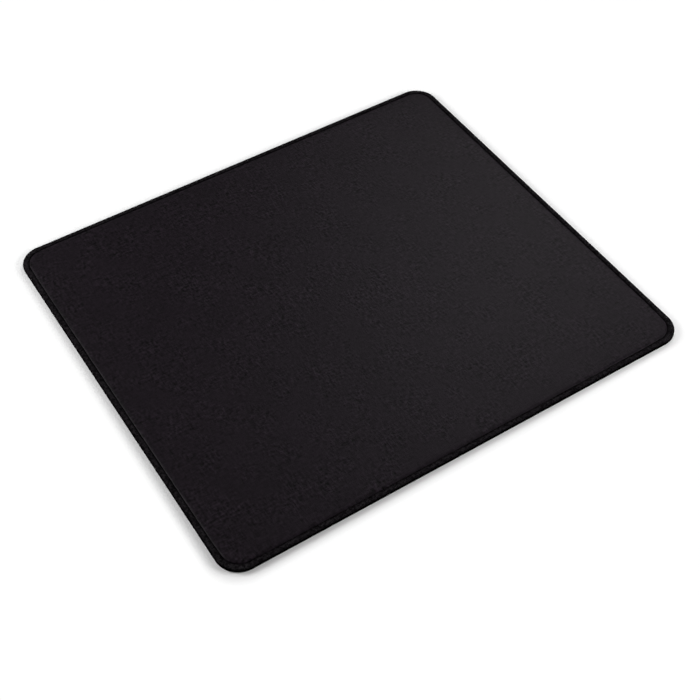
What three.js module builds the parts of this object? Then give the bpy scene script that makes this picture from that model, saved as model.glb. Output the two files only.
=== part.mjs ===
// A mouse pad: woven cloth bonded to a sheet of foam rubber, with a sewn edge.
//
// Frame: millimetres. X runs along the front edge, Y from the front to the back, Z up. The origin is
// the middle of the underside, on the desk.
//
// The pad is one rounded rectangle from layer to layer. A point of any piece is given by its inset,
// the distance in from the outermost edge of the seam, and by its height above the desk. Each piece
// is a line or an outline of such points, carried round the rectangle.

import * as THREE from 'three';

// Overall sizes, over the threads
const PAD_LENGTH = 450;
const PAD_WIDTH = 400;
const CORNER_RADIUS = 21;

// Layers, from the desk up
const BASE_THICKNESS = 3.9;
const FILM_THICKNESS = 0.15;
const CLOTH_THICKNESS = 0.45;

// Overlock seam: the threads lie a little below the cloth and a little above the desk, and squeeze
// the foam between them
const SEAM_WIDTH = 4.4;
const SEAM_RECESS = 0.2;
const LOOPER_THICKNESS = 0.55;
const LOOPER_INNER_THICKNESS = 0.25;
const LOOPER_EDGE_ROUNDING = 1.3;
const NEEDLE_THREAD_WIDTH = 0.55;
const NEEDLE_THREAD_HEIGHT = 0.35;
const NEEDLE_THREAD_ROUNDING = 0.15;

// Rounded shoulders beside the seam, over which the foam swells back to its full thickness
const TOP_SHOULDER = 3;
const UNDERSIDE_SHOULDER = 1.6;

// Flats that each quarter turn is cut into
const CORNER_STEPS = 14;
const SHOULDER_STEPS = 5;
const EDGE_STEPS = 5;

const quarterTurn = Math.PI / 2;

// Heights of the layers' surfaces, away from the seam and squeezed under it
const padHeight = BASE_THICKNESS + FILM_THICKNESS + CLOTH_THICKNESS;
const middleHeight = padHeight / 2;
const squeezedBottom = SEAM_RECESS + LOOPER_THICKNESS;
const squeezedTop = padHeight - squeezedBottom;

// Insets of the laminate's cut edge, which the threads wrap, and of the foot of the shoulders
const cutEdge = LOOPER_THICKNESS;
const shoulderFoot = SEAM_WIDTH + NEEDLE_THREAD_WIDTH;

const cloth = new THREE.MeshStandardMaterial({ color: 0x242226, roughness: 0.9, metalness: 0 });
const adhesive = new THREE.MeshStandardMaterial({ color: 0x2b2a2c, roughness: 0.5, metalness: 0 });
const foamRubber = new THREE.MeshStandardMaterial({ color: 0x1b1b1c, roughness: 0.85, metalness: 0 });
const thread = new THREE.MeshStandardMaterial({ color: 0x171618, roughness: 0.8, metalness: 0 });

// The centres of the four corners' arcs, which all insets share, anticlockwise from the back right
const centreX = PAD_LENGTH / 2 - CORNER_RADIUS;
const centreY = PAD_WIDTH / 2 - CORNER_RADIUS;
const cornerCentres = [
  [centreX, centreY],
  [-centreX, centreY],
  [-centreX, -centreY],
  [centreX, -centreY],
];

// The rounded rectangle at one inset and height, anticlockwise from above
function ring([inset, height]) {
  const radius = CORNER_RADIUS - inset;
  return cornerCentres.flatMap(([x, y], corner) => {
    const arc = [];
    for (let i = 0; i <= CORNER_STEPS; i++) {
      const angle = quarterTurn * (corner + i / CORNER_STEPS);
      arc.push(new THREE.Vector3(x + radius * Math.cos(angle), y + radius * Math.sin(angle), height));
    }
    return arc;
  });
}

// Two triangles for each flat between ring a and ring b, which holds for rings in the order: out
// along the bottom, up the outside, in along the top
function band(a, b, count) {
  const faces = [];
  for (let i = 0; i < count; i++) {
    const next = (i + 1) % count;
    faces.push(a + i, a + next, b + next);
    faces.push(a + i, b + next, b + i);
  }
  return faces;
}

function solid(rings, faces) {
  const geometry = new THREE.BufferGeometry().setFromPoints(rings.flat());
  geometry.setIndex(faces);
  geometry.computeVertexNormals();
  return geometry;
}

// A sheet across the whole pad: its edge follows the line, and its first and last rings are filled
function sheet(line) {
  const rings = line.map(ring);
  const count = rings[0].length;
  const faces = [];
  for (let k = 0; k < rings.length - 1; k++) {
    faces.push(...band(k * count, (k + 1) * count, count));
  }
  const top = (rings.length - 1) * count;
  const flat = rings[0].map((point) => new THREE.Vector2(point.x, point.y));
  for (const [a, b, c] of THREE.ShapeUtils.triangulateShape(flat, [])) {
    faces.push(c, b, a);
    faces.push(top + a, top + b, top + c);
  }
  return solid(rings, faces);
}

// A closed hoop round the pad with the outline as its section
function hoop(outline) {
  const rings = outline.map(ring);
  const count = rings[0].length;
  const faces = [];
  for (let k = 0; k < rings.length; k++) {
    faces.push(...band(k * count, ((k + 1) % rings.length) * count, count));
  }
  return solid(rings, faces);
}

// The line of a layer's surface from the flat middle of the pad out to the cut edge: a quarter of
// an ellipse down the shoulder, then level under the threads
function surfaceLine(flatHeight, squeezedHeight, shoulder) {
  const line = [];
  for (let i = 0; i <= SHOULDER_STEPS; i++) {
    const angle = quarterTurn * (i / SHOULDER_STEPS);
    line.push([
      shoulderFoot + shoulder * (1 - Math.sin(angle)),
      squeezedHeight + (flatHeight - squeezedHeight) * Math.cos(angle),
    ]);
  }
  line.push([cutEdge, squeezedHeight]);
  return line;
}

// A layer fills the space between two surface lines
function layer(lower, upper) {
  return sheet([...lower, ...upper.toReversed()]);
}

// The upper looper thread covers the seam on top and folds over the edge to half its height. Its
// section runs up the outside, in over the top, and back along the cloth
function upperLooperOutline() {
  const outline = [];
  for (let i = 0; i <= EDGE_STEPS; i++) {
    const angle = quarterTurn * (i / EDGE_STEPS);
    outline.push([
      LOOPER_EDGE_ROUNDING * (1 - Math.cos(angle)),
      middleHeight + (padHeight - SEAM_RECESS - middleHeight) * Math.sin(angle),
    ]);
  }
  outline.push([SEAM_WIDTH, squeezedTop + LOOPER_INNER_THICKNESS]);
  outline.push([SEAM_WIDTH, squeezedTop]);
  outline.push([cutEdge, squeezedTop]);
  outline.push([cutEdge, middleHeight]);
  return outline;
}

// The lower looper thread is the same, upside down
function lowerLooperOutline() {
  return upperLooperOutline()
    .map(([inset, height]) => [inset, padHeight - height])
    .toReversed();
}

// The needle thread is a low bead in the groove between the upper looper thread and the shoulder
function needleThreadOutline() {
  const top = squeezedTop + NEEDLE_THREAD_HEIGHT;
  return [
    [SEAM_WIDTH, squeezedTop],
    [SEAM_WIDTH, top - NEEDLE_THREAD_ROUNDING],
    [SEAM_WIDTH + NEEDLE_THREAD_ROUNDING, top],
    [shoulderFoot - NEEDLE_THREAD_ROUNDING, top],
    [shoulderFoot, squeezedTop],
  ];
}

const underside = surfaceLine(0, squeezedBottom, UNDERSIDE_SHOULDER);
const clothFace = surfaceLine(padHeight, squeezedTop, TOP_SHOULDER);

// The surface at a depth below the cloth's face
function below(depth) {
  return clothFace.map(([inset, height]) => [inset, height - depth]);
}

const clothBack = below(CLOTH_THICKNESS);
const filmBack = below(CLOTH_THICKNESS + FILM_THICKNESS);

const mousePad = new THREE.Group();

function addPiece(name, geometry, material) {
  const piece = new THREE.Mesh(geometry, material.clone());
  piece.name = name;
  mousePad.add(piece);
}

addPiece('foam_rubber_base', layer(underside, filmBack), foamRubber);
addPiece('adhesive_film', layer(filmBack, clothBack), adhesive);
addPiece('woven_cloth_top', layer(clothBack, clothFace), cloth);
addPiece('lower_looper_thread', hoop(lowerLooperOutline()), thread);
addPiece('upper_looper_thread', hoop(upperLooperOutline()), thread);
addPiece('needle_thread', hoop(needleThreadOutline()), thread);

export default mousePad;
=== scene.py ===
import math
import random

import bmesh
import bpy
from mathutils import Matrix, Quaternion, Vector, noise


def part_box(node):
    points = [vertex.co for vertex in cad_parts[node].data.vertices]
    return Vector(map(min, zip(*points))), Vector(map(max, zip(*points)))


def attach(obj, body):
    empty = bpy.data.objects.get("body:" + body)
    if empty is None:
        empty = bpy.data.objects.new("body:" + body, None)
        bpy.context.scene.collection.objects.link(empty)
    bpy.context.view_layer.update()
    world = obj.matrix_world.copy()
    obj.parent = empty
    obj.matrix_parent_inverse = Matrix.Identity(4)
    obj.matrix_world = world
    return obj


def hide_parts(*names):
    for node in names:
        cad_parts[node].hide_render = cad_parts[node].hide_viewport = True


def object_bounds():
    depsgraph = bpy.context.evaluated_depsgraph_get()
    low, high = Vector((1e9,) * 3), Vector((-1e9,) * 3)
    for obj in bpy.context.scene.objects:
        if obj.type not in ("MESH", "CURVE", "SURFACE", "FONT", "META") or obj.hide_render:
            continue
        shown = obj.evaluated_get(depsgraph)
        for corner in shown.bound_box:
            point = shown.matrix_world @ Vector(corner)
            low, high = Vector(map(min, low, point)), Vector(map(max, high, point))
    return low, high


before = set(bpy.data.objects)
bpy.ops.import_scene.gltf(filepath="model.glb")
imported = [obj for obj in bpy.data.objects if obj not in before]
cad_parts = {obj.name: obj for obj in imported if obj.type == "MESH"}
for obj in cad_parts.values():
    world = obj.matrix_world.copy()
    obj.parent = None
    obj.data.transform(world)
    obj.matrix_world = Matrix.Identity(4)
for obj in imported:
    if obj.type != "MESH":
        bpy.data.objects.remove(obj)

bl_info = {
    "name": "Cloth Mouse Pad",
    "version": (1, 0, 0),
    "blender": (4, 5, 0),
    "location": "3D View > Sidebar > Mouse Pad",
    "description": "Woven cloth on foam rubber, bound all round by a three-thread overlock seam",
    "category": "Object",
}

# Everything is in metres, and short lengths are written as so many millimetres
MM = 0.001

# The frame's own sizes, from the boxes of its solids
PAD_LOW, PAD_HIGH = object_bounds()
CLOTH_LOW, CLOTH_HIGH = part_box("woven_cloth_top")
FILM_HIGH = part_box("adhesive_film")[1]
BASE_LOW, BASE_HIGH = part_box("foam_rubber_base")
UPPER_LOW, UPPER_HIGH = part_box("upper_looper_thread")
LOWER_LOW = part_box("lower_looper_thread")[0]
NEEDLE_LOW, NEEDLE_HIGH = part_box("needle_thread")

# Insets are distances in from the outermost edge of the threads
CUT_EDGE = PAD_HIGH.x - CLOTH_HIGH.x
SEAM_WIDTH = PAD_HIGH.x - NEEDLE_HIGH.x
CLOTH_THICKNESS = CLOTH_HIGH.z - FILM_HIGH.z
FILM_THICKNESS = FILM_HIGH.z - BASE_HIGH.z

# Heights of the layers' two faces where the seam squeezes them, and of the line on which the loopers
# meet. The lower looper is as thick under the layers as beside them
SQUEEZED_TOP = NEEDLE_LOW.z
SQUEEZED_BOTTOM = LOWER_LOW.z + CUT_EDGE
PARTING = UPPER_LOW.z

# How much further in the groove runs round each corner, from the front right one anticlockwise, and
# how many stitches it takes to get there. From the last inset on, nothing is shifted
CORNER_BITES = (1.1 * MM, 0.0, 0.7 * MM, 0.7 * MM)
BITE_REACH = 28
BITE_END = 7.4 * MM

# Steps in the curve of a shoulder
SHOULDER_STEPS = 6

# The puckers fade to a third over the first length, inwards, and the second is how far apart along
# the seam the tight and the slack stretches lie
PUCKER_FADE = 1.1 * MM
PUCKER_DRIFT = 12 * MM

# How unevenly the threads are sewn, as standard deviations: the lean of a stitch along the seam and
# what a point strays from it, in stitches, and what a point of each thread strays across the seam
STITCH_LEAN = 0.03
POINT_STRAY = 0.012
LOOPER_STRAY = 0.03 * MM
NEEDLE_STRAY = 0.02 * MM

# Points of a mesh this near are one, and edges this near in height lie level
SAME_POINT = 0.001 * MM
SAME_HEIGHT = 0.02 * MM

# The grid of a flat middle keeps this share of a cell clear of its rim
GRID_CLEARANCE = 0.4

# The softboxes: name, bearing from the X axis and height above the floor in degrees, distance and
# side of the square in metres, power in watts
SOFTBOXES = (
    ("key_softbox", 37, 45, 1.42, 0.68, 5.8),
    ("back_softbox", 114, 42, 1.42, 0.31, 1.6),
    ("left_softbox", 148, 29, 1.41, 0.58, 10.4),
    ("low_left_softbox", 149, 8, 1.42, 1.1, 7.0),
    ("right_softbox", 316, 21, 1.4, 0.8, 16.8),
)

# The pale band round the room: the sine of its height above the horizon, how far it fades up and
# down from there, and what is left of it beyond
BAND_RISE = 0.42
BAND_FADE = 0.14
BAND_REST = 0.05

# The photograph's camera: the point on the desk that it looks at, its bearing and height from there
# as for a softbox, its roll in degrees, its distance, lens and sensor in millimetres
CAMERA_AIM = Vector((-26.7, -57.3, 0)) * MM
CAMERA_BEARING = -121.9
CAMERA_HEIGHT = 49.95
CAMERA_ROLL = -0.75
CAMERA_DISTANCE = 1129
CAMERA_LENS = 67.46
CAMERA_SENSOR = 36

# From the middle of the floor to each of its sides, and how far it lies below the desk's plane, so
# that the fluff of the threads doesn't reach through it
FLOOR_REACH = 12
FLOOR_GAP = 0.05 * MM

# The shadow on the floor fades out between these distances from the pad
SHADOW_KEPT = 7 * MM
SHADOW_GONE = 12 * MM

# The strength of plain white: a trifle over 1, so that smoothing the render can't leave it grey
PLAIN_WHITE = 1.02


def linear(hex_colour):
    """An sRGB hex colour as linear red, green, blue and alpha."""
    value = int(hex_colour.lstrip("#"), 16)
    channels = [(value >> shift & 255) / 255 for shift in (16, 8, 0)]
    return [c / 12.92 if c <= 0.04045 else ((c + 0.055) / 1.055) ** 2.4 for c in channels] + [1.0]


def length(name, description, default):
    """A length that a user may change."""
    return bpy.props.FloatProperty(
        name=name, description=description, default=default, unit="LENGTH", precision=5, min=0
    )


def colour(name, description, default):
    """A colour that a user may change."""
    return bpy.props.FloatVectorProperty(
        name=name, description=description, default=linear(default), subtype="COLOR", size=4, min=0, max=1
    )


class MousePadSizes(bpy.types.PropertyGroup):
    corner_radius: length("Corner radius", "Radius of the corners, over the threads", 21 * MM)
    top_shoulder: length("Top shoulder", "Width over which the cloth swells up beside the seam", 3 * MM)
    under_shoulder: length("Underside shoulder", "The same on the underside", 1.6 * MM)
    needle_width: length("Groove width", "Width of the groove that the needle thread lies in", 0.55 * MM)
    stitch_pitch: length("Stitch pitch", "Distance from one needle hole to the next", 1.3 * MM)
    looper_yarn: length("Looper thread", "Diameter of the bulky looper threads", 0.64 * MM)
    looper_bulge: length(
        "Looper bulge", "How far the loops' fluffy backs stand past the nominal edge", 0.38 * MM
    )
    needle_yarn: length("Needle thread", "Diameter of the needle thread", 0.38 * MM)
    pucker: length("Pucker", "How far each stitch pulls the cloth down beside the seam", 0.08 * MM)
    cloth_thread: length("Cloth thread", "Spacing of the threads in the woven cloth", 0.4 * MM)
    slub_width: length("Slub width", "Width of the streaks in the cloth, as drawn", 2.0 * MM)
    slub_length: length("Slub length", "Length of the streaks in the cloth", 5 * MM)
    lattice_pitch: length("Lattice pitch", "Spacing of the raised lozenges under the base", 4 * MM)
    lattice_gap: length("Lattice gap", "Width of the channels between the lozenges", 0.9 * MM)
    lattice_depth: length("Lattice depth", "Depth of those channels", 0.22 * MM)


class MousePadColours(bpy.types.PropertyGroup):
    cloth: colour("Cloth", "Dyed polyester cloth", "#161116")
    thread: colour("Thread", "Bulky looper threads", "#1d1b1d")
    # Darker than the looper threads, partly as painted shade for the groove that this thread lies in
    needle_thread: colour("Needle thread", "Thin, tightly twisted needle thread", "#0c0a0c")
    rubber: colour("Foam rubber", "Black foam rubber", "#1d1d1e")
    adhesive: colour("Adhesive", "Film of adhesive between cloth and foam", "#2c2b2d")
    floor: colour("Floor", "Plain pale floor", "#f4f4f4")


class Seam:
    """The needle's line round the pad: four sides and four corners of whole stitches, anticlockwise
    from the left end of the front side. A position on it counts stitches."""

    def __init__(self, sizes):
        self.radius = sizes.corner_radius
        self.line = SEAM_WIDTH + sizes.needle_width / 2
        self.foot = SEAM_WIDTH + sizes.needle_width
        across, along = PAD_HIGH.x - self.radius, PAD_HIGH.y - self.radius
        corners = ((across, -along), (across, along), (-across, along), (-across, -along))
        self.centres = [Vector(corner) for corner in corners]
        # The position where each side and then its corner ends
        self.ends = []
        count = 0
        turn = (self.radius - self.line) * math.pi / 2
        for side in range(4):
            straight = (self.centres[side] - self.centres[side - 1]).length
            for run in (straight, turn):
                count += round(run / sizes.stitch_pitch)
                self.ends.append(count)
        self.stitches = count
        # The position of each corner's middle
        self.turns = [sum(self.ends[side : side + 2]) / 2 for side in range(0, 8, 2)]

    def place(self, position, inset, height=0.0):
        """The point at a position, an inset and a height. Round some corners the groove and what lies
        beside it are shifted further in."""
        position %= self.stitches
        shift = max(min(inset / SEAM_WIDTH, 1, (BITE_END - inset) / (BITE_END - self.foot)), 0)
        for turn, bite in zip(self.turns, CORNER_BITES):
            gap = abs(position - turn)
            near = min(gap, self.stitches - gap, BITE_REACH) / BITE_REACH
            inset += shift * bite * (0.5 + 0.5 * math.cos(math.pi * near))
        run = next(i for i, end in enumerate(self.ends) if position < end)
        start = self.ends[run - 1] if run else 0
        share = (position - start) / (self.ends[run] - start)
        side, turning = divmod(run, 2)
        angle = (side - 1 + share * turning) * math.pi / 2
        outward = Vector((math.cos(angle), math.sin(angle)))
        centre = self.centres[side] if turning else self.centres[side - 1].lerp(self.centres[side], share)
        flat = centre + outward * (self.radius - inset)
        return Vector((flat.x, flat.y, height))

    def room(self, point):
        """How far apart the stitches stand at a point, as a multiple of their pitch. They fan out round
        the corners."""
        x, y = abs(point.x) - self.centres[1].x, abs(point.y) - self.centres[1].y
        if min(x, y) < 0:
            return 1
        return max(math.hypot(x, y) / (self.radius - self.line), 1)


def inside(point, inset, radius):
    """True if a point lies inside the rounded rectangle at an inset."""
    x = max(abs(point.x) - (PAD_HIGH.x - radius), 0)
    y = max(abs(point.y) - (PAD_HIGH.y - radius), 0)
    return math.hypot(x, y) < radius - inset


def heading(bearing, height):
    """The direction at a bearing from the X axis and a height above the floor, in degrees."""
    turn, rise = math.radians(bearing), math.radians(height)
    return Vector((math.cos(turn) * math.cos(rise), math.sin(turn) * math.cos(rise), math.sin(rise)))


def add(tree, kind, inputs=None, **settings):
    """Adds a node with its settings. Each input is given a value or linked to a socket."""
    node = tree.nodes.new(kind)
    for name, value in settings.items():
        setattr(node, name, value)
    for name, value in (inputs or {}).items():
        if isinstance(value, bpy.types.NodeSocket):
            tree.links.new(value, node.inputs[name])
        else:
            node.inputs[name].default_value = value
    return node


def material(name):
    """A new material with an empty node tree but for its output."""
    made = bpy.data.materials.new(name)
    made.use_nodes = True
    tree = made.node_tree
    tree.nodes.clear()
    return made, tree, add(tree, "ShaderNodeOutputMaterial")


def woven_polyester(sizes, colours):
    """Black polyester yarn in a fine plain weave, pressed flat. It is matt, with a weak broad gloss from
    its filaments. Yarn is never quite even, so thicker stretches of it (slubs) show as short streaks
    along both ways of the weave, and the dye takes a little more or less from place to place."""
    made, tree, output = material("Woven polyester cloth, dyed black")
    place = add(tree, "ShaderNodeTexCoord").outputs["Object"]
    # A wave texture has a band in each 2 pi / 20 of its scaled length
    threads = 1 / sizes.cloth_thread
    rows = {"Vector": place, "Scale": threads * math.pi / 10}
    warp = add(tree, "ShaderNodeTexWave", rows, bands_direction="X").outputs["Fac"]
    weft = add(tree, "ShaderNodeTexWave", rows, bands_direction="Y").outputs["Fac"]
    over = add(tree, "ShaderNodeTexChecker", {"Vector": place, "Scale": threads}).outputs["Fac"]
    weave = add(tree, "ShaderNodeMix", {0: over, 2: warp, 3: weft}, data_type="FLOAT").outputs[0]
    raised = {"Value": weave, "To Min": 0.8, "To Max": 1.15}
    thread_tone = add(tree, "ShaderNodeMapRange", raised).outputs[0]

    # Slubs are one thread wide on the real cloth. They are drawn wider, so that they show from a step
    # away. The two ways of them add up to about 1, and what is over or under it is the streak
    wide, long = 1 / sizes.slub_width, 1 / sizes.slub_length
    slubs = []
    for scale in ((wide, long, 1.0), (long, wide, 1.0)):
        stretched = add(tree, "ShaderNodeMapping", {"Vector": place, "Scale": scale}).outputs[0]
        grain = {"Vector": stretched, "Scale": 1.0, "Detail": 1.0, "Roughness": 0.5}
        slubs.append(add(tree, "ShaderNodeTexNoise", grain).outputs["Fac"])
    uneven = add(tree, "ShaderNodeMath", {0: slubs[0], 1: slubs[1]}, operation="ADD").outputs[0]
    streak = add(tree, "ShaderNodeMath", {0: uneven, 1: 1.0}, operation="SUBTRACT").outputs[0]
    # Some patches of the cloth are smooth and others full of slubs
    patches = {"Vector": place, "Scale": 1 / (25 * MM), "Detail": 2.0}
    patch = add(tree, "ShaderNodeTexNoise", patches).outputs["Fac"]
    share = {"Value": patch, "From Min": 0.35, "From Max": 0.65, "To Min": 0.35, "To Max": 1.2}
    amount = add(tree, "ShaderNodeMapRange", share).outputs[0]
    speckle = add(tree, "ShaderNodeMath", {0: streak, 1: amount}, operation="MULTIPLY").outputs[0]
    contrast = {0: speckle, 1: 2.6, 2: 1.0}
    slub_tone = add(tree, "ShaderNodeMath", contrast, operation="MULTIPLY_ADD").outputs[0]

    # The dye is a little uneven over a few centimetres
    clouds = {"Vector": place, "Scale": 1 / (40 * MM), "Detail": 3.0}
    dye = add(tree, "ShaderNodeTexNoise", clouds).outputs["Fac"]
    dye_tone = add(tree, "ShaderNodeMapRange", {"Value": dye, "To Min": 0.75, "To Max": 1.25}).outputs[0]

    # Painted shade: the foot of the cloth, down in the groove that the seam squeezes, is painted darker,
    # from 0.3 of its colour at the bottom to full colour 0.35 mm up
    rise = add(tree, "ShaderNodeSeparateXYZ", {0: place}).outputs["Z"]
    clear = SQUEEZED_TOP + 0.35 * MM
    groove = {"Value": rise, "From Min": SQUEEZED_TOP, "From Max": clear, "To Min": 0.3, "To Max": 1.0}
    painted_groove_shade = add(tree, "ShaderNodeMapRange", groove).outputs[0]

    tone = slub_tone
    for other in (dye_tone, thread_tone, painted_groove_shade):
        tone = add(tree, "ShaderNodeMath", {0: tone, 1: other}, operation="MULTIPLY").outputs[0]
    black = {0: tuple(colours.cloth)[:3], "Scale": tone}
    dyed = add(tree, "ShaderNodeVectorMath", black, operation="SCALE").outputs[0]

    lumps = {"Height": speckle, "Strength": 1.0, "Distance": 0.18 * MM}
    lumpy = add(tree, "ShaderNodeBump", lumps).outputs[0]
    relief = {"Height": weave, "Strength": 0.25, "Distance": 0.08 * MM, "Normal": lumpy}
    # Seen low across it, the cloth loses its gloss, because each thread hides the far side of the next
    low = add(tree, "ShaderNodeLayerWeight", {"Blend": 0.5}).outputs["Facing"]
    dulling = {"Value": low, "From Min": 0.35, "From Max": 0.65, "To Min": 0.38, "To Max": 0.9}
    cloth = {
        "Base Color": dyed,
        "Roughness": add(tree, "ShaderNodeMapRange", dulling).outputs[0],
        "IOR": 1.5,
        "Specular IOR Level": 0.071,
        "Normal": add(tree, "ShaderNodeBump", relief).outputs[0],
    }
    shader = add(tree, "ShaderNodeBsdfPrincipled", cloth)
    tree.links.new(shader.outputs[0], output.inputs["Surface"])
    return made


def spun_thread(name, dyed_colour, sizes):
    """Black bulked polyester thread: soft matt filaments, twisted round each other. Its colour carries
    painted light: it is lighter and darker at random from stitch to stitch, as painted highlight and shade
    for loose and tight stitches, and darker round the edge and in the groove, as painted shade."""
    made, tree, output = material(name)
    along = add(tree, "ShaderNodeUVMap", uv_map="yarn").outputs["UV"]
    # The map's first axis counts stitches and its second goes once round the thread. The plies turn
    # with three of them round the thread and 14 to a stitch, about one in each millimetre of a loop.
    # Bands on a diagonal lie twice as far apart as others, which the scale makes up for
    twist = add(tree, "ShaderNodeMapping", {"Vector": along, "Scale": (14.0, 3.0, 1.0)}).outputs[0]
    lay = {"Vector": twist, "Scale": math.pi / 5, "Distortion": 0.6, "Detail Scale": 3.0}
    plies = add(tree, "ShaderNodeTexWave", lay, bands_direction="DIAGONAL").outputs["Fac"]
    ply_tone = add(tree, "ShaderNodeMapRange", {"Value": plies, "To Min": 0.7, "To Max": 1.15}).outputs[0]

    place = add(tree, "ShaderNodeTexCoord").outputs["Object"]
    # Painted highlight and shade: the colour is made lighter and darker at random along the seam, for loose
    # stitches that catch the light and tight ones that stay dark
    painted_light_noise = {"Vector": place, "Scale": 1 / (1.4 * sizes.stitch_pitch), "Detail": 2.0, "Roughness": 0.65}
    loose = add(tree, "ShaderNodeTexNoise", painted_light_noise).outputs["Fac"]
    slack = {"Value": loose, "From Min": 0.4, "From Max": 0.6, "To Min": 0.35, "To Max": 1.65}
    painted_light_tone = add(tree, "ShaderNodeMapRange", slack).outputs[0]

    # Painted shade round the edge: near the parting line the loops are painted nearly black, because they
    # lie tight side by side and shade each other more than these drawn ones do
    rise = add(tree, "ShaderNodeSeparateXYZ", {0: place}).outputs["Z"]
    rise = add(tree, "ShaderNodeMath", {0: rise, 1: PARTING}, operation="SUBTRACT").outputs[0]
    off = add(tree, "ShaderNodeMath", {0: rise}, operation="ABSOLUTE").outputs[0]
    edge = {"Value": off, "From Min": 1.35 * MM, "From Max": 2.2 * MM, "To Min": 0.03, "To Max": 1.17}
    painted_edge_shade = add(tree, "ShaderNodeMapRange", edge).outputs[0]

    # Where a loop hooks round the needle thread, at each whole stitch, it lies deep in the groove, and its
    # colour is painted darker there as painted shade
    count = add(tree, "ShaderNodeSeparateXYZ", {0: along}).outputs["X"]
    reach = add(tree, "ShaderNodeMath", {0: count, 1: 0.5}, operation="PINGPONG").outputs[0]
    hook = {"Value": reach, "From Min": 0.04, "From Max": 0.14, "To Min": 0.3, "To Max": 1.0}
    painted_hook_shade = add(tree, "ShaderNodeMapRange", hook).outputs[0]

    tone = painted_light_tone
    for other in (ply_tone, painted_edge_shade, painted_hook_shade):
        tone = add(tree, "ShaderNodeMath", {0: tone, 1: other}, operation="MULTIPLY").outputs[0]
    black = {0: tuple(dyed_colour)[:3], "Scale": tone}
    relief = {"Height": plies, "Strength": 0.5, "Distance": 0.05 * MM}
    thread = {
        "Base Color": add(tree, "ShaderNodeVectorMath", black, operation="SCALE").outputs[0],
        "Roughness": 0.9,
        "Specular IOR Level": 0.0,
        "Normal": add(tree, "ShaderNodeBump", relief).outputs[0],
    }
    shader = add(tree, "ShaderNodeBsdfPrincipled", thread)
    tree.links.new(shader.outputs[0], output.inputs["Surface"])
    return made


def foam_rubber(colours):
    """Black foam rubber, moulded: dull, with fine pores where its bubbles have burst at the surface, and
    a shade lighter or darker over a centimetre or two."""
    made, tree, output = material("Foam rubber, moulded black")
    place = add(tree, "ShaderNodeTexCoord").outputs["Object"]
    grain = {"Vector": place, "Scale": 1 / (0.5 * MM)}
    pores = add(tree, "ShaderNodeTexVoronoi", grain, feature="F1").outputs["Distance"]
    clouds = {"Vector": place, "Scale": 1 / (17 * MM), "Detail": 3.0}
    patches = add(tree, "ShaderNodeTexNoise", clouds).outputs["Fac"]
    cloudy = {"Value": patches, "To Min": 0.8, "To Max": 1.2}
    patch_tone = add(tree, "ShaderNodeMapRange", cloudy).outputs[0]
    pore_tone = add(tree, "ShaderNodeMapRange", {"Value": pores, "To Min": 0.8, "To Max": 1.1}).outputs[0]
    tone = add(tree, "ShaderNodeMath", {0: patch_tone, 1: pore_tone}, operation="MULTIPLY").outputs[0]
    black = {0: tuple(colours.rubber)[:3], "Scale": tone}
    relief = {"Height": pores, "Strength": 0.4, "Distance": 0.06 * MM}
    rubber = {
        "Base Color": add(tree, "ShaderNodeVectorMath", black, operation="SCALE").outputs[0],
        "Roughness": 0.82,
        "IOR": 1.5,
        "Normal": add(tree, "ShaderNodeBump", relief).outputs[0],
    }
    shader = add(tree, "ShaderNodeBsdfPrincipled", rubber)
    tree.links.new(shader.outputs[0], output.inputs["Surface"])
    return made


def adhesive_film(colours):
    """Hot-melt polyurethane film: smooth and a little glossy, with the print of the cloth in it."""
    made, tree, output = material("Hot-melt polyurethane film")
    place = add(tree, "ShaderNodeTexCoord").outputs["Object"]
    waves = {"Vector": place, "Scale": 1 / (2.5 * MM), "Detail": 2.0}
    ripple = add(tree, "ShaderNodeTexNoise", waves).outputs["Fac"]
    tone = add(tree, "ShaderNodeMapRange", {"Value": ripple, "To Min": 0.85, "To Max": 1.15}).outputs[0]
    clouded = {0: tuple(colours.adhesive)[:3], "Scale": tone}
    relief = {"Height": ripple, "Strength": 0.3, "Distance": 0.03 * MM}
    film = {
        "Base Color": add(tree, "ShaderNodeVectorMath", clouded, operation="SCALE").outputs[0],
        "Roughness": 0.45,
        "IOR": 1.5,
        "Normal": add(tree, "ShaderNodeBump", relief).outputs[0],
    }
    shader = add(tree, "ShaderNodeBsdfPrincipled", film)
    tree.links.new(shader.outputs[0], output.inputs["Surface"])
    return made


def piece(name, mesh, finish, node):
    """Links a mesh as the piece that stands for a node of the frame."""
    mesh.materials.clear()
    mesh.materials.append(finish)
    made = bpy.data.objects.new(name, mesh)
    bpy.context.scene.collection.objects.link(made)
    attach(made, "root")
    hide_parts(node)
    return made


def surface_line(foot, shoulder, flat, squeezed):
    """The insets and heights of a layer's surface from the flat middle out to its cut edge."""
    line = []
    for i in range(SHOULDER_STEPS + 1):
        angle = math.pi / 2 * i / SHOULDER_STEPS
        inset = foot + shoulder * (1 - math.sin(angle))
        line.append((inset, squeezed + (flat - squeezed) * math.cos(angle)))
    return line + [(CUT_EDGE, squeezed)]


def cloth_face(seam, sizes):
    """The surface line of the cloth's face."""
    return surface_line(seam.foot, sizes.top_shoulder, CLOTH_HIGH.z, SQUEEZED_TOP)


def lowered(line, depth):
    """A surface line moved down by a depth."""
    return [(inset, height - depth) for inset, height in line]


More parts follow.
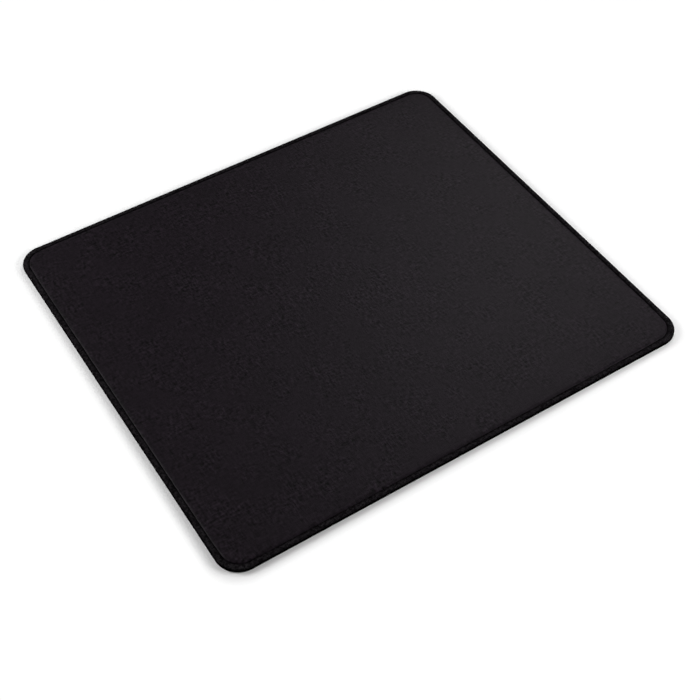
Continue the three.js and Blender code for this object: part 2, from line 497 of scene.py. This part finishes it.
def fill_middle(bm, rim, inset, radius, height, cell, turn=0.0):
    """Fills the flat middle inside a rim of edges: a grid of square cells, and a border that joins it
    to the rim. Returns the faces of both."""
    reach = math.ceil((PAD_HIGH.x + PAD_HIGH.y) / cell)
    made = bmesh.ops.create_grid(bm, x_segments=2 * reach, y_segments=2 * reach, size=reach * cell)["verts"]
    bmesh.ops.rotate(bm, verts=made, matrix=Matrix.Rotation(turn, 3, "Z"))
    bmesh.ops.translate(bm, verts=made, vec=(0, 0, height))
    unwanted = [v for v in made if not inside(v.co, inset + GRID_CLEARANCE * cell, radius)]
    # A cell that hangs on by one corner would give a border that crosses itself, so it goes too
    while unwanted:
        bmesh.ops.delete(bm, geom=unwanted, context="VERTS")
        made = [v for v in made if v.is_valid]
        unwanted = [v for v in made if not v.link_faces or sum(e.is_boundary for e in v.link_edges) > 2]
    spare = dict.fromkeys(e for v in made for e in v.link_edges if e.is_wire)
    bmesh.ops.delete(bm, geom=list(spare), context="EDGES")
    cells = list(dict.fromkeys(face for v in made for face in v.link_faces))
    outline = list(dict.fromkeys(e for v in made for e in v.link_edges if e.is_boundary))
    joined = bmesh.ops.triangle_fill(bm, use_beauty=True, edges=outline + rim)["geom"]
    return cells, [item for item in joined if isinstance(item, bmesh.types.BMFace)]


def layer_mesh(name, seam, lower, upper, per_stitch, cell, pull=None, lattice=None):
    """A layer of the pad: a strip bent round the seam's line for its edge, and a grid for each face.
    The strip has so many steps to a stitch, and the upper line may be pulled down at each of them.
    A lattice is the pitch, gap and depth of raised lozenges on the underside."""
    line = lower + upper[::-1]
    steps, rows = seam.stitches * per_stitch, len(line) - 1
    bm = bmesh.new()
    # A grid of this size runs from -0.5 to 0.5 both ways
    bmesh.ops.create_grid(bm, x_segments=steps, y_segments=rows, size=0.5)
    for vert in bm.verts:
        position = round((vert.co.x + 0.5) * steps) / per_stitch
        row = round((vert.co.y + 0.5) * rows)
        inset, height = line[row]
        if pull and row >= len(lower):
            height -= pull(position, inset)
        vert.co = seam.place(position, inset, height)
    bmesh.ops.remove_doubles(bm, verts=bm.verts, dist=SAME_POINT)
    loose = [e for e in bm.edges if e.is_boundary]
    crisp = []
    for surface in (lower, upper):
        inset, height = surface[0]
        rim = [e for e in loose if abs(e.verts[0].co.z - height) < SAME_HEIGHT]
        if lattice and surface is lower:
            pitch, gap, depth = lattice
            cells, border = fill_middle(bm, rim, inset, seam.radius, height, pitch, math.pi / 4)
            bmesh.ops.reverse_faces(bm, faces=cells)
            sides = bmesh.ops.inset_individual(
                bm, faces=cells, thickness=gap / 2, depth=depth, use_even_offset=True
            )["faces"]
            crisp = cells + sides + border
        else:
            fill_middle(bm, rim, inset, seam.radius, height, cell)
    bmesh.ops.recalc_face_normals(bm, faces=bm.faces)
    for face in bm.faces:
        face.smooth = True
    for face in crisp:
        face.smooth = False
    mesh = bpy.data.meshes.new(name)
    bm.to_mesh(mesh)
    bm.free()
    return mesh


def yarn_mesh(name, points, diameter, seam):
    """A closed thread along points, with a map that counts stitches along it and turns round it. It is
    bulky, and fluffs out to fill the room that it has."""
    curve = bpy.data.curves.new(name, "CURVE")
    curve.dimensions = "3D"
    curve.bevel_depth = diameter / 2
    curve.bevel_resolution = 1
    spline = curve.splines.new("POLY")
    spline.points.add(len(points) - 1)
    spline.points.foreach_set("co", [c for p in points for c in (*p, 1.0)])
    spline.points.foreach_set("radius", [seam.room(p) for p in points])
    spline.use_cyclic_u = True
    guide = bpy.data.objects.new(name + "_guide", curve)
    bpy.context.scene.collection.objects.link(guide)
    shaped = guide.evaluated_get(bpy.context.evaluated_depsgraph_get())
    mesh = bpy.data.meshes.new_from_object(shaped)
    bpy.data.objects.remove(guide)
    bpy.data.curves.remove(curve)
    mesh.name = name
    uv = mesh.uv_layers[0]
    uv.name = "yarn"
    for corner in uv.data:
        corner.uv.x *= seam.stitches
    mesh.shade_smooth()
    return mesh


def stitch_points(seam, shape, seed, stray):
    """One stitch's shape, as (share of a stitch, inset, height), repeated round the pad. Each point
    strays a little, as sewn thread does, and a third as much in height as across the seam."""
    hand = random.Random(seed)
    points = []
    for stitch in range(seam.stitches):
        lean = hand.gauss(0, STITCH_LEAN)
        for share, inset, height in shape:
            points.append(
                seam.place(
                    stitch + share + lean + hand.gauss(0, POINT_STRAY),
                    inset + hand.gauss(0, stray),
                    height + hand.gauss(0, stray / 3),
                )
            )
    return points


def looper_shape(sizes):
    """A looper thread's way through one stitch, with heights counted from the parting line: hooked
    round the needle thread, out over the rim, round the edge to just past the parting line, and back
    the same way."""
    r = sizes.looper_yarn / 2
    top = UPPER_HIGH.z - PARTING - r + 0.5 * sizes.looper_bulge
    rim = SQUEEZED_TOP - PARTING
    edge = r - sizes.looper_bulge
    out = [
        (0.21, SEAM_WIDTH, rim + 0.3 * r),
        (0.25, 0.58 * SEAM_WIDTH, top),
        (0.28, 0.15 * SEAM_WIDTH, top - 0.1 * r),
        (0.32, edge + 0.3 * r, 0.7 * top),
        (0.38, edge, 0.05 * top),
    ]
    back = [(1 - share, inset, height) for share, inset, height in reversed(out)]
    return [(0.0, SEAM_WIDTH + 0.8 * sizes.needle_width, rim), *out, (0.5, edge, -0.14 * top), *back]


def sew_looper(sizes, colours, name, node, shape, seed):
    """Sews a looper thread round the pad as the piece that stands for a node."""
    seam = Seam(sizes)
    points = stitch_points(seam, shape, seed, LOOPER_STRAY)
    mesh = yarn_mesh(name, points, sizes.looper_yarn, seam)
    finish = spun_thread("Bulked polyester thread, dyed black", colours.thread, sizes)
    piece(name, mesh, finish, node)


class MakeCloth(bpy.types.Operator):
    """Weaves the cloth face, pulled down beside the seam"""

    bl_idname = "mouse_pad.cloth"
    bl_label = "Woven Cloth"

    def execute(self, context):
        sizes, colours = context.scene.mouse_pad_sizes, context.scene.mouse_pad_colours
        seam = Seam(sizes)

        def pull(position, inset):
            """How far the cloth is pulled down: most at each needle hole, and more where the thread
            happens to be tight."""
            fade = math.exp(-max(inset - seam.foot, 0) / PUCKER_FADE)
            drift = noise.noise(seam.place(position, seam.line) / PUCKER_DRIFT)
            return sizes.pucker * fade * (0.5 + 0.5 * math.cos(2 * math.pi * position) + 0.8 * drift)

        upper = cloth_face(seam, sizes)
        lower = lowered(upper, CLOTH_THICKNESS)
        mesh = layer_mesh("woven_cloth", seam, lower, upper, per_stitch=4, cell=10 * MM, pull=pull)
        made = piece("woven_cloth", mesh, woven_polyester(sizes, colours), "woven_cloth_top")
        return {"FINISHED"}


class MakeFilm(bpy.types.Operator):
    """Lays the film of adhesive between the cloth and the foam"""

    bl_idname = "mouse_pad.film"
    bl_label = "Adhesive Film"

    def execute(self, context):
        sizes, colours = context.scene.mouse_pad_sizes, context.scene.mouse_pad_colours
        seam = Seam(sizes)
        upper = lowered(cloth_face(seam, sizes), CLOTH_THICKNESS)
        lower = lowered(upper, FILM_THICKNESS)
        mesh = layer_mesh("film_of_adhesive", seam, lower, upper, per_stitch=1, cell=20 * MM)
        piece("film_of_adhesive", mesh, adhesive_film(colours), "adhesive_film")
        return {"FINISHED"}


class MakeBase(bpy.types.Operator):
    """Moulds the foam rubber base, with raised lozenges under it that grip the desk"""

    bl_idname = "mouse_pad.base"
    bl_label = "Foam Rubber Base"

    def execute(self, context):
        sizes, colours = context.scene.mouse_pad_sizes, context.scene.mouse_pad_colours
        seam = Seam(sizes)
        upper = lowered(lowered(cloth_face(seam, sizes), CLOTH_THICKNESS), FILM_THICKNESS)
        lower = surface_line(seam.foot, sizes.under_shoulder, BASE_LOW.z, SQUEEZED_BOTTOM)
        # The lozenges stand in a shallow tray, so that they reach the desk where the base itself does
        lower.insert(0, (lower[0][0] + sizes.lattice_gap, BASE_LOW.z + sizes.lattice_depth))
        lattice = sizes.lattice_pitch, sizes.lattice_gap, sizes.lattice_depth
        mesh = layer_mesh("foam_base", seam, lower, upper, per_stitch=2, cell=20 * MM, lattice=lattice)
        made = piece("foam_base", mesh, foam_rubber(colours), "foam_rubber_base")
        return {"FINISHED"}


class MakeUpperLooper(bpy.types.Operator):
    """Sews the upper looper thread, over the rim and round the edge"""

    bl_idname = "mouse_pad.upper_looper"
    bl_label = "Upper Looper Thread"

    def execute(self, context):
        sizes, colours = context.scene.mouse_pad_sizes, context.scene.mouse_pad_colours
        shape = [(share, inset, PARTING + height) for share, inset, height in looper_shape(sizes)]
        sew_looper(sizes, colours, "upper_looper", "upper_looper_thread", shape, seed=3)
        return {"FINISHED"}


class MakeLowerLooper(bpy.types.Operator):
    """Sews the lower looper thread, under the rim and half a stitch on, where the upper one locks it"""

    bl_idname = "mouse_pad.lower_looper"
    bl_label = "Lower Looper Thread"

    def execute(self, context):
        sizes, colours = context.scene.mouse_pad_sizes, context.scene.mouse_pad_colours
        shape = [(share + 0.5, inset, PARTING - height) for share, inset, height in looper_shape(sizes)]
        sew_looper(sizes, colours, "lower_looper", "lower_looper_thread", shape, seed=5)
        return {"FINISHED"}


class MakeNeedleThread(bpy.types.Operator):
    """Sews the needle thread: along the groove on top, and through the layers at each stitch"""

    bl_idname = "mouse_pad.needle_thread"
    bl_label = "Needle Thread"

    def execute(self, context):
        sizes, colours = context.scene.mouse_pad_sizes, context.scene.mouse_pad_colours
        seam = Seam(sizes)
        r = sizes.needle_yarn / 2
        over = NEEDLE_HIGH.z - 0.6 * r
        under = SQUEEZED_BOTTOM - 0.75 * sizes.looper_yarn
        line = seam.line
        # Along the groove, down through the layers, round under the lower looper, and up again
        shape = [
            (0.07, line, SQUEEZED_TOP),
            (0.22, line, over),
            (0.5, line, over + 0.3 * r),
            (0.78, line, over),
            (0.93, line, SQUEEZED_TOP),
            (0.93, line, SQUEEZED_BOTTOM),
            (0.88, line - r, under),
            (1.0, line - 1.8 * r, under - 0.3 * r),
            (1.12, line - r, under),
            (1.07, line, SQUEEZED_BOTTOM),
        ]
        points = stitch_points(seam, shape, 7, NEEDLE_STRAY)
        mesh = yarn_mesh("needle_stitches", points, sizes.needle_yarn, seam)
        finish = spun_thread("Tightly spun polyester thread, dyed black", colours.needle_thread, sizes)
        piece("needle_stitches", mesh, finish, "needle_thread")
        return {"FINISHED"}


def seen_by(tree, first, *others):
    """1 on the rays of these kinds, and 0 on all others."""
    path = add(tree, "ShaderNodeLightPath")
    seen = path.outputs[first]
    for kind in others:
        seen = add(tree, "ShaderNodeMath", {0: seen, 1: path.outputs[kind]}, operation="MAXIMUM").outputs[0]
    return seen


def white_floor(sizes, colours):
    """Matt white paper, which keeps the pad's shadow. Where it is seen from the camera, in gloss or
    through glass it is a little whiter, and beyond the shadow it is plain white."""
    made, tree, output = material("Matt white paper")
    paper = add(tree, "ShaderNodeBsdfDiffuse", {"Color": tuple(colours.floor)}).outputs[0]
    white = add(tree, "ShaderNodeBsdfDiffuse", {"Color": linear("#ffffff")}).outputs[0]
    plain = add(tree, "ShaderNodeEmission", {"Strength": PLAIN_WHITE}).outputs[0]
    # The distance from the centre of the nearest corner's arc, or from the line between two of them
    radius = sizes.corner_radius
    arcs = (PAD_HIGH.x - radius, PAD_HIGH.y - radius, 0)
    place = add(tree, "ShaderNodeTexCoord").outputs["Object"]
    either_way = add(tree, "ShaderNodeVectorMath", {0: place}, operation="ABSOLUTE").outputs[0]
    past = add(tree, "ShaderNodeVectorMath", {0: either_way, 1: arcs}, operation="SUBTRACT").outputs[0]
    past = add(tree, "ShaderNodeVectorMath", {0: past, 1: (0, 0, 0)}, operation="MAXIMUM").outputs[0]
    away = add(tree, "ShaderNodeVectorMath", {0: past}, operation="LENGTH").outputs["Value"]
    fade = {"Value": away, "From Min": radius + SHADOW_KEPT, "From Max": radius + SHADOW_GONE}
    beyond = add(tree, "ShaderNodeMapRange", fade).outputs[0]
    shown = add(tree, "ShaderNodeMixShader", {0: beyond, 1: white, 2: plain}).outputs[0]
    seen = seen_by(tree, "Is Camera Ray", "Is Glossy Ray", "Is Transmission Ray")
    mixed = add(tree, "ShaderNodeMixShader", {0: seen, 1: paper, 2: shown})
    tree.links.new(mixed.outputs[0], output.inputs["Surface"])
    return made


def white_studio():
    """Light from a pale band low round the room, and plain white where the camera sees the room. Gloss
    shows the band as well. Nothing here is metal or glass, and plain white all round would make the
    broad gloss of the cloth far too light."""
    world = bpy.data.worlds.new("white_studio")
    world.use_nodes = True
    tree = world.node_tree
    tree.nodes.clear()
    white = linear("#ffffff")
    way = add(tree, "ShaderNodeTexCoord").outputs["Generated"]
    rise = add(tree, "ShaderNodeSeparateXYZ", {0: way}).outputs["Z"]
    off = add(tree, "ShaderNodeMath", {0: rise, 1: BAND_RISE}, operation="SUBTRACT").outputs[0]
    far = add(tree, "ShaderNodeMath", {0: off}, operation="ABSOLUTE").outputs[0]
    fade = {"Value": far, "From Max": BAND_FADE, "To Min": 1.0, "To Max": BAND_REST}
    level = add(tree, "ShaderNodeMapRange", fade).outputs[0]
    band = add(tree, "ShaderNodeBackground", {"Color": white, "Strength": level}).outputs[0]
    backdrop = add(tree, "ShaderNodeBackground", {"Color": white, "Strength": 1.0}).outputs[0]
    seen = seen_by(tree, "Is Camera Ray", "Is Transmission Ray")
    mixed = add(tree, "ShaderNodeMixShader", {0: seen, 1: band, 2: backdrop}).outputs[0]
    add(tree, "ShaderNodeOutputWorld", {"Surface": mixed})
    return world


class MakeStage(bpy.types.Operator):
    """Sets the pale floor, the soft studio lamps and the camera at the photograph's angle"""

    bl_idname = "mouse_pad.stage"
    bl_label = "Stage"

    def execute(self, context):
        scene = context.scene
        bm = bmesh.new()
        bmesh.ops.create_grid(bm, x_segments=1, y_segments=1, size=FLOOR_REACH)
        ground = bpy.data.meshes.new("floor")
        bm.to_mesh(ground)
        bm.free()
        ground.materials.append(white_floor(scene.mouse_pad_sizes, scene.mouse_pad_colours))
        floor = bpy.data.objects.new("floor", ground)
        floor.location.z = PAD_LOW.z - FLOOR_GAP
        scene.collection.objects.link(floor)

        for name, bearing, height, distance, side, power in SOFTBOXES:
            light = bpy.data.lights.new(name, "AREA")
            light.size = side
            light.energy = power
            lamp = bpy.data.objects.new(name, light)
            lamp.location = distance * heading(bearing, height)
            lamp.rotation_euler = (-lamp.location).to_track_quat("-Z", "Y").to_euler()
            scene.collection.objects.link(lamp)
        scene.world = white_studio()

        scene.view_settings.view_transform = "Standard"

        lens = bpy.data.cameras.new("photo_camera")
        lens.sensor_width = CAMERA_SENSOR
        lens.lens = CAMERA_LENS
        camera = bpy.data.objects.new("photo_camera", lens)
        away = heading(CAMERA_BEARING, CAMERA_HEIGHT)
        roll = Quaternion((0, 0, 1), math.radians(CAMERA_ROLL))
        camera.location = CAMERA_AIM + away * CAMERA_DISTANCE * MM
        camera.rotation_mode = "QUATERNION"
        camera.rotation_quaternion = (-away).to_track_quat("-Z", "Y") @ roll
        scene.collection.objects.link(camera)
        scene.camera = camera
        return {"FINISHED"}


OPERATORS = (MakeCloth, MakeFilm, MakeBase, MakeUpperLooper, MakeLowerLooper, MakeNeedleThread, MakeStage)


class MousePadPanel(bpy.types.Panel):
    bl_label = "Mouse Pad"
    bl_idname = "VIEW3D_PT_mouse_pad"
    bl_space_type = "VIEW_3D"
    bl_region_type = "UI"
    bl_category = "Mouse Pad"

    def draw(self, context):
        column = self.layout.column()
        for group in (context.scene.mouse_pad_sizes, context.scene.mouse_pad_colours):
            for name in group.__annotations__:
                column.prop(group, name)
        for operator in OPERATORS:
            column.operator(operator.bl_idname)


CLASSES = (MousePadSizes, MousePadColours, *OPERATORS, MousePadPanel)


def register():
    for cls in CLASSES:
        bpy.utils.register_class(cls)
    bpy.types.Scene.mouse_pad_sizes = bpy.props.PointerProperty(type=MousePadSizes)
    bpy.types.Scene.mouse_pad_colours = bpy.props.PointerProperty(type=MousePadColours)


def unregister():
    del bpy.types.Scene.mouse_pad_colours
    del bpy.types.Scene.mouse_pad_sizes
    for cls in reversed(CLASSES):
        bpy.utils.unregister_class(cls)


def main():
    register()
    bpy.ops.mouse_pad.film()
    bpy.ops.mouse_pad.cloth()
    bpy.ops.mouse_pad.base()
    bpy.ops.mouse_pad.upper_looper()
    bpy.ops.mouse_pad.lower_looper()
    bpy.ops.mouse_pad.needle_thread()
    bpy.ops.mouse_pad.stage()


if __name__ == "__main__":
    main()
